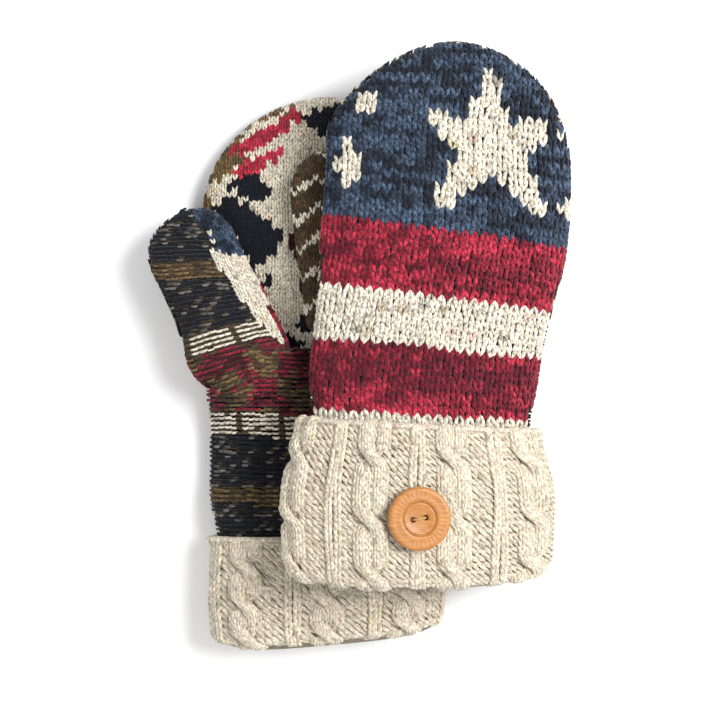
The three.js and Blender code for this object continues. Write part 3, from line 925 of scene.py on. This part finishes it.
def attach(obj, mitten, part, slot, *nodes, fill=None):
    """Sets what a piece moves with, and hides the CAD nodes that it stands for; its finish, the slot,
    is not used.
    The part is the mitten or its thumb, which the piece then moves with, or its bend, the cloth round
    the thumb's base, whose pieces only have their transform baked."""
    if part == "bend":
        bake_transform(obj)
    else:
        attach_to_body(obj, f"{mitten.name}_{part}")
    if nodes:
        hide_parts(*(f"{mitten.name}_{node}" for node in nodes))


def hand_tip(mitten):
    return mitten.tip - TIP_REACH + HAND_CAP.length[-1]


def make_back(mitten, pattern):
    side = -mitten.palm
    surface = hand_surface(mitten, side)
    hem = mitten.cuff_top - HEM_UNDER_CUFF
    s, t = stitch_grid(COARSE, lambda at: hand_reach(mitten, at), hem, hand_tip(mitten))
    x, y = place_of(surface, s, t)
    skein = Skein(6)
    knit(skein, surface, side, COARSE, s, t, pattern(x, y, s, t), steps=6)
    piece = skein.make(f"{mitten.name}_back_knit", WOOL_MATERIAL)
    attach(piece, mitten, "mitten", "banded_knit", "back_panel")


DOME_RISE = 13.35
DOME_CROWN_RADIUS = 13.0
DOME_FALL_LENGTH = 31.0


def dome_height(x, y):
    """How far the left palm's cloth rises to pass over the base of the thumb."""
    thumb = LEFT.thumb
    lean = math.radians(thumb.lean)
    dx, dy = x - SHIFT[0] - thumb.x, y - SHIFT[1] - thumb.y
    along = -dx * math.sin(lean) + dy * math.cos(lean)
    across = dx * math.cos(lean) + dy * math.sin(lean)
    away = np.hypot(across, np.minimum(along, 0) * 0.95)
    fall = np.clip((away - DOME_CROWN_RADIUS) / DOME_FALL_LENGTH, 0, 1)
    return DOME_RISE * 0.5 * (1 + np.cos(math.pi * fall))


def draped(surface, mitten):
    """The left lower palm, lifted over the thumb's base, and drawn back to the seam at its edge."""
    def at(s, t):
        point = surface(s, t)
        share = np.clip(np.abs(s) / hand_reach(mitten, t), 0, 1)
        lift = dome_height(point[..., 0], point[..., 1]) * (1 - share**9)
        return point + np.stack([0 * lift, 0 * lift, lift], -1)

    return at


def beside_hole(mitten, surface, s, t):
    """The stitches that lie clear of the hole where the thumb joins, and where they are."""
    x, y = place_of(surface, s, t)
    clear = np.hypot(x - mitten.thumb.x, y - mitten.thumb.y) > THUMB_HOLE_RADIUS
    return s[clear], t[clear], x[clear], y[clear]


def make_palm(mitten, upper_pattern, lower_pattern):
    side = mitten.palm
    surface = hand_surface(mitten, side)
    reach = lambda at: hand_reach(mitten, at)
    s, t = stitch_grid(FINE, reach, mitten.thumb_seam + 0.6, hand_tip(mitten))
    s, t, x, y = beside_hole(mitten, surface, s, t)
    skein = Skein()
    knit(skein, surface, side, FINE, s, t, upper_pattern(x, y, s, t))
    piece = skein.make(f"{mitten.name}_upper_palm_knit", FINE_WOOL_MATERIAL)
    attach(piece, mitten, "mitten", "patterned_knit", "upper_palm_panel")

    lower = surface
    s, t = stitch_grid(REVERSE, reach, mitten.cuff_top - HEM_UNDER_CUFF, mitten.thumb_seam)
    if mitten is LEFT:
        lower = draped(surface, mitten)
        x, y = place_of(surface, s, t)
    else:
        s, t, x, y = beside_hole(mitten, surface, s, t)
    skein = Skein()
    purl(skein, lower, side, REVERSE, s, t, lower_pattern(x, y, s, t))
    piece = skein.make(f"{mitten.name}_lower_palm_knit", FINE_WOOL_MATERIAL)
    part = "bend" if mitten is LEFT else "mitten"
    attach(piece, mitten, part, "reversed_knit", "lower_palm_panel")


# Across a thumb whose seam can't be seen from the outer side
THUMB_SEAM_HIDDEN = 99.0


def seam_across_thumb(t):
    """How far across the left thumb's top the seam between its two sides lies."""
    return np.interp(t, [-10, -1, 14, 32, 46, 56, 70, 85], [22, 17, 12, 10, 7, 9.6, 6, 3])


def sheared(surface):
    """The thumb's outer side, with its rows turned level at the tip and less so at its base."""
    return lambda s, row: surface(s, thumb_row_place(s, row))


def thumb_row_place(s, row):
    slope = lerp(0.2, 0.42, smoothstep(row, 5, 45)) * smoothstep(row, -22, 4)
    return row - slope * s


def make_thumb(mitten):
    thumb = mitten.thumb
    part = "bend" if mitten is LEFT else "thumb"
    reach = lambda at: thumb_reach(mitten, at)
    low, high = -THUMB_BASE_CAP.length[-1], thumb.length - THUMB_TIP_REACH + THUMB_CAP.length[-1]
    outer_side = mitten.palm
    outer = thumb_surface(mitten, outer_side)
    inner = thumb_surface(mitten, -outer_side)
    limit = seam_across_thumb if mitten is LEFT else (lambda t: THUMB_SEAM_HIDDEN + 0 * t)

    skein = Skein()
    s, row = stitch_grid(REVERSE, lambda at: THUMB_HALF_WIDTH * 1.2 + 0 * at, low - 12, high + 12)
    t = thumb_row_place(s, row)
    mine = (s < limit(t)) & (t > low + 1) & (t < high - 0.5) & (np.abs(s) < reach(t) - 1.9)
    s, row = s[mine], row[mine]
    purl(skein, sheared(outer), outer_side, REVERSE, s, row, thumb_reverse_pattern(s, row))
    piece = skein.make(f"{mitten.name}_thumb_outer_knit", FINE_WOOL_MATERIAL)
    attach(piece, mitten, part, "reversed_knit", "thumb_outer_panel")

    skein = Skein()
    every_s, every_t = stitch_grid(FINE, reach, low + 1, high)
    s, t, _, _ = beside_hole(mitten, inner, every_s, every_t)
    pattern = thumb_inner_pattern if mitten is LEFT else (lambda a, b: brown_pattern(a, b, a, b))
    knit(skein, inner, -outer_side, FINE, s, t, pattern(s, t))
    over = every_s > limit(every_t)
    s, t = every_s[over], every_t[over]
    knit(skein, outer, outer_side, FINE, s, t, pattern(s, t))
    piece = skein.make(f"{mitten.name}_thumb_inner_knit", FINE_WOOL_MATERIAL)
    attach(piece, mitten, part, "patterned_knit", "thumb_inner_panel")

    stations = np.linspace(low, high, 40)[1:-1]
    surfaces = lambda side, depth: thumb_surface(mitten, side, depth)
    skin = lambda inset: closed_form(surfaces, reach, stations, 14, inset)
    inner_skin = skin(THUMB_BACKING_INSET)
    # The thumb's backing skin is painted shade between the stitches
    core = backing(f"{mitten.name}_thumb_backing", inner_skin, THUMB_BACKING_PAINTED_SHADE, BACKING_PAINTED_SHADE_MATERIAL)
    attach(core, mitten, part, "reversed_knit")
    fleece = backing(f"{mitten.name}_thumb_fleece", skin(THUMB_LINING_INSET), CREAM, FLEECE_MATERIAL)
    attach(fleece, mitten, part, "fleece", "thumb_lining", fill=0.3)


def make_hand_backing(mitten):
    """The ground between the stitches, charcoal darkened nearly to black as painted shade, and the
    fleece inside it.
    """
    reach = lambda at: hand_reach(mitten, at)
    surfaces = lambda side, depth: hand_surface(mitten, side, depth)
    shoulder = mitten.tip - TIP_REACH
    straight = np.linspace(mitten.cuff_bottom + 8.5, shoulder, 40)
    stations = np.concatenate([straight, np.linspace(shoulder, hand_tip(mitten), 24)[1:-1]])
    outside = closed_form(surfaces, reach, stations, 26, BACKING_INSET, low_open=True)
    outside[0][:, 2] = np.maximum(outside[0][:, 2], PRESSED_TO + 1)
    # Charcoal at four tenths: painted shade in the gaps between the stitches
    core = backing(f"{mitten.name}_hand_backing", outside, CHARCOAL * 0.4, BACKING_PAINTED_SHADE_MATERIAL)
    attach(core, mitten, "mitten", "patterned_knit")
    fleece = flipped(closed_form(surfaces, reach, stations, 26, LINING_INSET, low_open=True))
    lining = backing(f"{mitten.name}_fleece_lining", fleece, CREAM, FLEECE_MATERIAL)
    roughen(lining, 0.175)
    nodes = "back_lining", "upper_palm_lining", "lower_palm_lining"
    attach(lining, mitten, "mitten", "fleece", *nodes, fill=0.3)


def roughen(obj, size):
    """Gives a skin the lumps of a pile, by moving its corners by about a size in millimetres."""
    count = len(obj.data.vertices)
    corners = np.zeros(count * 3, np.float32)
    obj.data.vertices.foreach_get("co", corners)
    corners = corners.reshape(-1, 3)
    corners += (RNG.standard_normal(corners.shape) * size * MM).astype(np.float32)
    obj.data.vertices.foreach_set("co", corners.ravel())
    obj.data.update()


# One repeat of a cuff's columns is a cable, sunken purl, a rib of two columns, and purl again
CABLE_WIDTH = 16.5
CABLE_COLUMN = CABLE_WIDTH / 6
STRAND_HALF = CABLE_WIDTH / 4
RIB_WIDTH = 7.2
CROSSING_REACH = 8.5
PURL_DEPTH = -2.0
RIB_DEPTH = -0.1
UNDER_CABLE = 3.0
PURL_SLANT = 0.55
PURL_COLUMN = 3.4
CUFF_BACKING_INSET = 3.7
YARN_ABOVE_MIDDLE = 0.9
CABLE_GAUGE = SimpleNamespace(width=CABLE_COLUMN, height=CUFF_ROW, radius=0.98)
RIB_GAUGE = SimpleNamespace(width=RIB_WIDTH / 2, height=CUFF_ROW, radius=1.12)
EDGE_GAUGE = SimpleNamespace(width=4.4, height=2.4, radius=1.25)


def relief_limit(mitten, side, x, y):
    """How proud of its form a cuff's yarn may stand: it gives way to its button and its neighbours."""
    away = np.hypot(x - mitten.button.x, y - mitten.button.y)
    free = 2.6 if mitten is RIGHT and side > 0 else 0.5
    if side == mitten.palm:
        return np.full(np.shape(x), free)
    under_button = 0.3 if mitten is RIGHT else -3.5
    return lerp(under_button, free, smoothstep(away, BUTTON_RADIUS + 0.8, BUTTON_RADIUS + 5))


def relief_base(mitten, side):
    """Where a cuff's plain stitches lie: only the right cuff's top has nothing over or under it."""
    return 0.5 if mitten is RIGHT and side > 0 else -0.9


def lay_on_cuff(skein, mitten, side, s, t, depth, radii, tone):
    """Adds lengths of yarn to a cuff, no prouder of its form than there is room for."""
    surface = cuff_surface(mitten, side)
    room = relief_limit(mitten, side, *place_of(surface, s, t)) - YARN_ABOVE_MIDDLE
    points, normals = place_on_cuff(surface, side, s, t, np.minimum(depth, room))
    skein.add(points, normals, radii + 0 * s, tone)


def crossing_shift(t, crossings):
    """Which side a strand is on, from 1 to -1, and how close a crossing is, from 0 to 1."""
    turned = np.zeros(np.shape(t))
    near = np.zeros(np.shape(t))
    for at in crossings:
        turned += smoothstep(t, at - CROSSING_REACH, at + CROSSING_REACH)
        near = np.maximum(near, 1 - smoothstep(np.abs(t - at), 0, CROSSING_REACH))
    return np.cos(math.pi * turned), near


def place_on_cuff(surface, side, s, t, depth):
    """A cuff's rows are counted downwards, so its outside is on the other hand."""
    return place(surface, -side, s, t, depth)


def knit_strand(skein, mitten, side, rows, crossings, middle, strand, column):
    """One column of stitches in one of a cable's two strands."""
    starts_at = -1 if strand == 0 else 1
    count = len(rows)
    offset = (column - 1) * CABLE_COLUMN
    nearest = np.argmin(np.abs(rows[:, None] - np.array(crossings)[None]), axis=1)
    in_front = ((nearest + strand) % 2 == 0)[:, None]
    for leg in (-1, 1):
        along, lean, thickness, tuck = leg_shape(CABLE_GAUGE, leg)
        t = rows[:, None] + CUFF_ROW * (0.8 - 1.62 * along) + 0.12 * RNG.standard_normal((count, 1))
        turned, near = crossing_shift(t, crossings)
        from_strand = (offset + lean) * (1 - 0.08 * near)
        s = middle + starts_at * turned * STRAND_HALF + from_strand
        s = s + 0.06 * RNG.standard_normal((count, 1))
        hump = near * np.where(in_front, 1.3, -2.6)
        crown = 0.9 - 1.5 * (from_strand / STRAND_HALF) ** 2
        depth = relief_base(mitten, side) + crown + hump - 0.9 * CABLE_GAUGE.radius - tuck
        keep = np.abs(s).max(1) < cuff_reach(mitten) * 0.995
        tone = cuff_colours(keep.sum())
        lay_on_cuff(skein, mitten, side, s[keep], t[keep], depth[keep], thickness, tone)


def knit_rib(skein, mitten, side, rows, middle):
    """One column of plain stitches between the sunken ones."""
    count = len(rows)
    if abs(middle) > cuff_reach(mitten) * 0.985:
        return
    for leg in (-1, 1):
        along, lean, thickness, tuck = leg_shape(RIB_GAUGE, leg)
        t = rows[:, None] + CUFF_ROW * (0.8 - 1.62 * along) + 0.12 * RNG.standard_normal((count, 1))
        sway = 0.5 * np.sin(rows / 11 + middle)[:, None]
        s = middle + sway + lean + 0.08 * RNG.standard_normal((count, 1))
        depth = relief_base(mitten, side) + RIB_DEPTH - 0.9 * RIB_GAUGE.radius - tuck
        lay_on_cuff(skein, mitten, side, s, t, depth, thickness, cuff_colours(count))


def purl_ditch(skein, mitten, side, rows, low, high):
    """Reversed columns between the raised ones: short slanting dashes, two to a row."""
    count = len(rows)
    columns = max(1, round((high - low) / PURL_COLUMN))
    width = (high - low) / columns
    along = np.linspace(-1, 1, 5)[None]
    for column in range(columns):
        middle = low + (column + 0.5) * width
        if abs(middle) > cuff_reach(mitten) * 0.98:
            continue
        for arc, bend in ((0, -1), (1, 1)):
            slant = PURL_SLANT + 0.12 * RNG.standard_normal((count, 1))
            s = middle + 0.68 * width * along + 0.15 * RNG.standard_normal((count, 1))
            bow = bend * 0.35 * (1 - along**2)
            t = rows[:, None] + CUFF_ROW * 0.5 * arc + bow + slant * width * along
            radii = 0.98 * (0.55 + 0.45 * np.cos(1.3 * along))
            radii = radii * (1 + 0.1 * RNG.standard_normal((count, 1)))
            depth = relief_base(mitten, side) + PURL_DEPTH - 0.6 * along**2 - 0.35 * arc
            # The sunken dashes are darkened a little as painted shade in the ditches
            lay_on_cuff(skein, mitten, side, s, t, depth, radii, cuff_colours(count) * 0.94)


def cast_off_edge(skein, mitten, side):
    """The chain of loops along a cuff's free edge."""
    surface = cuff_surface(mitten, side)
    reach = cuff_reach(mitten)
    s = np.arange(-reach + 2, reach - 1, EDGE_GAUGE.width * 0.8)
    along = np.linspace(-1, 1, 6)[None]
    for turn in (0, 1):
        count = len(s)
        path_s = s[:, None] + EDGE_GAUGE.width * 0.6 * along
        middle = CUFF_LIP_RADIUS * 1.2 + 1.9 * turn + 0.2 * RNG.standard_normal((count, 1))
        path_t = middle + 0.9 * along**2 - 0.5 * (1 - turn)
        radii = EDGE_GAUGE.radius * (0.6 + 0.4 * np.cos(1.3 * along)) * np.ones((count, 1))
        points, normals = place_on_cuff(surface, side, path_s, path_t, -0.7 + 0 * path_s)
        skein.add(points, normals, radii, cuff_colours(count))


def make_cuff(mitten, phase, rib_offset, crossings_y, side, part):
    """Half a cuff: cables, ribs and sunken purl between them."""
    profile = cuff_profile(mitten)
    reach = cuff_reach(mitten)
    centre = float(mitten.centre(np.array(mitten.cuff_bottom)))
    straight = slice(9, 20)
    crossings = np.interp(-np.array(crossings_y), -profile.y[straight], profile.length[straight])
    rows = np.arange(3.0, profile.length[-1], CUFF_ROW)
    skein = Skein()
    first = math.floor((-reach - phase + centre) / CUFF_PITCH) - 1
    for repeat in range(first, first + 6):
        start = phase - centre + repeat * CUFF_PITCH
        rib_start = start + rib_offset
        middle = start + CABLE_WIDTH / 2
        for strand in (0, 1):
            for column in range(3):
                knit_strand(skein, mitten, side, rows, crossings, middle, strand, column)
        for column in range(2):
            knit_rib(skein, mitten, side, rows, rib_start + (column + 0.5) * RIB_WIDTH / 2)
        purl_ditch(skein, mitten, side, rows, start + CABLE_WIDTH - UNDER_CABLE, rib_start)
        purl_ditch(skein, mitten, side, rows, rib_start + RIB_WIDTH, start + CUFF_PITCH + UNDER_CABLE)
    cast_off_edge(skein, mitten, side)
    return skein.make(f"{mitten.name}_cuff_{part}_knit", CUFF_MATERIAL)


def make_cuff_backing(mitten):
    profile = cuff_profile(mitten)
    reach = cuff_reach(mitten)
    stations = np.linspace(1.5, profile.length[-1], 60)
    inset = CUFF_BACKING_INSET - relief_base(mitten, 1) * 0.5
    surfaces = lambda side, depth: cuff_surface(mitten, side, depth)
    corners, quads, triangles = closed_form(surfaces, lambda at: reach + 0 * at, stations, 30, inset)
    skin = corners, quads, triangles[:0]
    # Cream at a third: painted shade in the gaps between the cuff's stitches
    core = backing(f"{mitten.name}_cuff_backing", skin, SHADED_CREAM * 0.34, BACKING_PAINTED_SHADE_MATERIAL)
    attach(core, mitten, "mitten", "cable_knit", fill=0.5)


def make_cuffs():
    for mitten, phase, rib_offset, crossings in (
        (LEFT, -64.0, 28.0, [-98, -115, -131]),
        (RIGHT, -3.6, 27.0, [-46, -75, -100]),
    ):
        for side, part in ((1, "top"), (-1, "under")):
            piece = make_cuff(mitten, phase, rib_offset, crossings, side, part)
            attach(piece, mitten, "mitten", "cable_knit", *(["cuff"] if side > 0 else []))
        make_cuff_backing(mitten)


# ---------------------------------------------------------------- buttons

BUTTON_OUTLINE = [
    (0, 0.75), (3.2, 0.78), (5.5, 1.0), (6.9, 1.3), (7.45, 1.35), (7.6, 0.95), (7.85, 0.95),
    (8.0, 1.5), (8.4, 1.95), (9.2, 2.08), (10.4, 2.0), (12.4, 2.0), (13.5, 2.1), (14.3, 1.8),
    (14.8, 1.15), (15, 0.2), (14.9, -0.9), (14.4, -1.7), (13.4, -2.1), (9, -2.1), (5.6, -2.1),
    (5, -0.8), (0, -0.8),
]
BUTTON_STEPS = 144
BUTTON_TICK_EVERY = 4
BUTTON_TICK_DEPTH = 0.09
BUTTON_EYE_OFFSET = 2.95
BUTTON_EYE_RADIUS = 1.3


def turned_button(name):
    """A lathed disc: a dished middle inside a groove, and a rim with a ring of small cut ticks."""
    outline = np.array(BUTTON_OUTLINE)
    radius, height = outline[1:-1, 0], outline[1:-1, 1]
    angle = 2 * math.pi * np.arange(BUTTON_STEPS) / BUTTON_STEPS
    rings, steps = len(radius), BUTTON_STEPS
    on_rim = (radius > 10) & (radius < 13) & (height > 0)
    cut = (np.arange(steps) % BUTTON_TICK_EVERY < 2)[None] & on_rim[:, None]
    z = height[:, None] - BUTTON_TICK_DEPTH * cut
    x, y = radius[:, None] * np.cos(angle), radius[:, None] * np.sin(angle)
    corners = np.stack([x, y, z], -1).reshape(-1, 3)
    corners = np.concatenate([corners, [[0, 0, outline[0, 1]], [0, 0, outline[-1, 1]]]])
    quads, turn, following = tube_faces(rings, steps)
    last, top, back = (rings - 1) * steps, rings * steps, rings * steps + 1
    front_fan = np.stack([turn, following, np.full(steps, top)], -1)
    back_fan = np.stack([last + following, last + turn, np.full(steps, back)], -1)
    triangles = np.concatenate([front_fan, back_fan])
    shades = np.ones((len(corners), 3))
    return mesh_object(name, corners * MM, quads[:, [0, 3, 2, 1]], triangles, shades, WOOD_MATERIAL)


def cut_eyes(button):
    """Bores the two eyes."""
    cutters = []
    for sign in (-1, 1):
        place_at = (sign * BUTTON_EYE_OFFSET * MM, 0, 0)
        bpy.ops.mesh.primitive_cylinder_add(
            vertices=32, radius=BUTTON_EYE_RADIUS * MM, depth=20 * MM, location=place_at
        )
        cutter = bpy.context.object
        cutters.append(cutter)
        bore = button.modifiers.new("eye", "BOOLEAN")
        bore.operation = "DIFFERENCE"
        bore.solver = "EXACT"
        bore.object = cutter
    evaluated = button.evaluated_get(bpy.context.evaluated_depsgraph_get())
    bored = bpy.data.meshes.new_from_object(evaluated)
    button.modifiers.clear()
    button.data = bored
    button.data.materials.clear()
    button.data.materials.append(WOOD_MATERIAL)
    for cutter in cutters:
        bpy.data.objects.remove(cutter, do_unlink=True)


def finish_buttons():
    for mitten, turn in ((LEFT, 0.0), (RIGHT, 9.0)):
        button = turned_button(f"{mitten.name}_turned_button")
        cut_eyes(button)
        x = mitten.button.x
        slope = float(mitten.settle(np.array(x + 0.5)) - mitten.settle(np.array(x - 0.5)))
        place_at = box_middle(f"{mitten.name}_button")
        spin = Matrix.Rotation(math.radians(turn), 4, "Z")
        if mitten is LEFT:
            tilt = Matrix.Rotation(math.pi, 4, "Y")
        else:
            tilt = Matrix.Rotation(-math.atan(slope), 4, "Y")
        button.data.transform(Matrix.Translation(place_at) @ tilt @ spin)
        attach(button, mitten, "mitten", "button_wood", "button")
        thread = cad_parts[f"{mitten.name}_button_thread"]
        thread.data.materials.clear()
        thread.data.materials.append(THREAD_MATERIAL)


# ---------------------------------------------------------------- studio

FLOOR_HALF = 3.0


def link(obj):
    bpy.context.scene.collection.objects.link(obj)
    return obj


def make_floor():
    mesh = bpy.data.meshes.new("floor")
    corners = [(x * FLOOR_HALF, y * FLOOR_HALF, 0) for x, y in ((-1, -1), (1, -1), (1, 1), (-1, 1))]
    mesh.from_pydata(corners, [], [(0, 1, 2, 3)])
    mesh.materials.append(floor_material())
    link(bpy.data.objects.new("floor", mesh))


def area_light(name, place_at, size, energy):
    """A round light that faces the origin. Its place and size are in metres."""
    light = bpy.data.lights.new(name, "AREA")
    light.shape = "DISK"
    light.size = size
    light.energy = energy
    obj = link(bpy.data.objects.new(name, light))
    obj.location = place_at
    obj.rotation_euler = (-Vector(place_at)).to_track_quat("-Z", "Y").to_euler()


def make_studio():
    make_floor()
    area_light("key", (1.0, 0.35, 1.2), 1.0, 33)
    area_light("fill", (-0.7, -0.9, 1.5), 1.6, 9)
    world = bpy.data.worlds.new("studio")
    world.use_nodes = True
    background = world.node_tree.nodes["Background"]
    background.inputs["Color"].default_value = (1, 1, 1, 1)
    background.inputs["Strength"].default_value = 0.62
    bpy.context.scene.world = world
    bpy.context.scene.view_settings.view_transform = "Standard"


# In metres: the field is the width of what the camera sees at the floor
CAMERA_HEIGHT = 1.2
FIELD_WIDTH = 0.3528


def make_camera():
    camera = bpy.data.cameras.new("camera")
    camera.sensor_fit = "HORIZONTAL"
    camera.angle = 2 * math.atan(FIELD_WIDTH / 2 / CAMERA_HEIGHT)
    obj = link(bpy.data.objects.new("camera", camera))
    obj.location = (SHIFT[0] * MM, SHIFT[1] * MM, CAMERA_HEIGHT)
    bpy.context.scene.camera = obj


make_camera()
make_studio()
make_back(LEFT, plain_navy_pattern)
make_back(RIGHT, flag_pattern)
make_palm(LEFT, zigzag_pattern, reverse_pattern)
make_palm(RIGHT, brown_pattern, brown_pattern)
for each in (LEFT, RIGHT):
    make_thumb(each)
    make_hand_backing(each)
make_cuffs()
finish_buttons()
